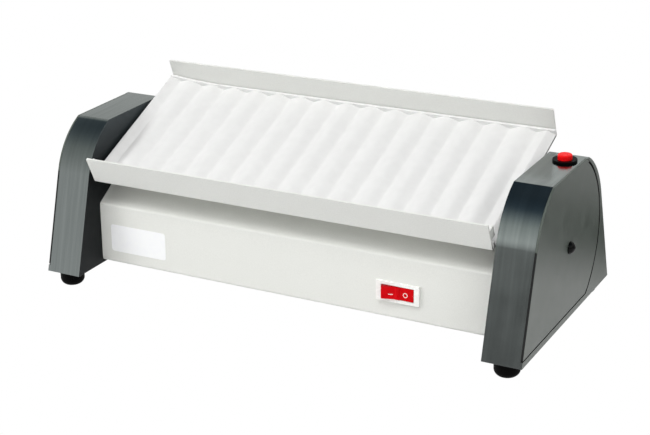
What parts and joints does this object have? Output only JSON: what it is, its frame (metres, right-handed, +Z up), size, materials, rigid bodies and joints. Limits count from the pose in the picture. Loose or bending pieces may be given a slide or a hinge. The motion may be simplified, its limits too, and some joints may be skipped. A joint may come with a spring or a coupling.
{
  "type": "rocking shaker",
  "caption": "Bench rocker for test tubes: a long ribbed tray tilts between two end pedestals, driven by a crank and slotted arm.",
  "frame": {"origin": "middle of the object's footprint on the bench, under the middle of the rocking axis", "axes": "+X along the rocking axis, to the pedestal with the push button; +Y to the rear, away from the power switch; +Z up"},
  "size_m": [0.373, 0.1626, 0.1397],
  "materials": {
    "graphite_housing": "satin graphite, finely brushed",
    "grey_cover": "satin grey-green",
    "light_grey_sheet": "satin light grey powder coat",
    "tray_sheet": "satin light grey",
    "white_mat": "matt white soft mat",
    "black_rubber": "satin black rubber",
    "steel": "bright turned steel",
    "zinc_plate": "zinc plated sheet",
    "brass": "bare brass",
    "white_plastic": "moulded white",
    "red_plastic": "glossy red",
    "black_plastic": "satin black"
  },
  "bodies": {
    "base": {"right_housing": "graphite_housing", "left_housing": "graphite_housing", "right_cover": "grey_cover", "left_cover": "grey_cover", "cover_plugs": "black_rubber", "base_cover": "light_grey_sheet", "base_plate": "zinc_plate", "plate_screws": "steel", "frame_screws": "steel", "feet": "black_rubber", "foot_screws": "steel", "right_bush": "black_plastic", "left_bush": "black_plastic", "gear_motor": "steel", "motor_posts": "brass", "motor_screws": "steel", "switch_body": "white_plastic", "button_collar": "black_plastic", "button_nut": "zinc_plate", "button_spring": "steel", "power_inlet": "black_plastic", "inlet_pins": "brass", "wire_grommet": "black_rubber"},
    "tray": {"tray_pan": "tray_sheet", "tube_mat": "white_mat", "right_tray_bracket": "zinc_plate", "left_tray_bracket": "zinc_plate", "tray_screws": "steel", "tray_nuts": "steel", "right_axle": "steel", "left_axle": "steel", "thrust_washers": "steel", "axle_clip": "steel", "drive_arm": "zinc_plate", "arm_set_screw": "black_plastic"},
    "crank": {"motor_shaft": "steel", "crank_disc": "zinc_plate", "crank_pin": "steel"},
    "rocker": {"power_rocker": "red_plastic"},
    "button": {"red_button": "red_plastic"}
  },
  "joints": [
    {"name": "tray_rock", "type": "hinge", "parent": "base", "child": "tray", "pos_m": [0, 0, 0.0922], "axis": [1, 0, 0], "range_deg": [-43, 0]},
    {"name": "crank_turn", "type": "hinge", "parent": "base", "child": "crank", "pos_m": [0.175, 0, 0.0623], "axis": [1, 0, 0], "range_deg": [0, 96]},
    {"name": "rocker_tilt", "type": "hinge", "parent": "base", "child": "rocker", "pos_m": [0.0838, -0.05045, 0.03217], "axis": [0, 0.0384, 0.9993], "range_deg": [-16, 0]},
    {"name": "button_press", "type": "slide", "parent": "base", "child": "button", "axis": [0, 0, -1], "range_m": [0, 0.002], "stiffness_N_per_m": 300, "springref_m": -0.002, "deforming": ["button_spring"]}
  ],
  "couplings": [
    {"joint": "crank_turn", "follows": "tray_rock", "ratio": -2.2325}
  ]
}
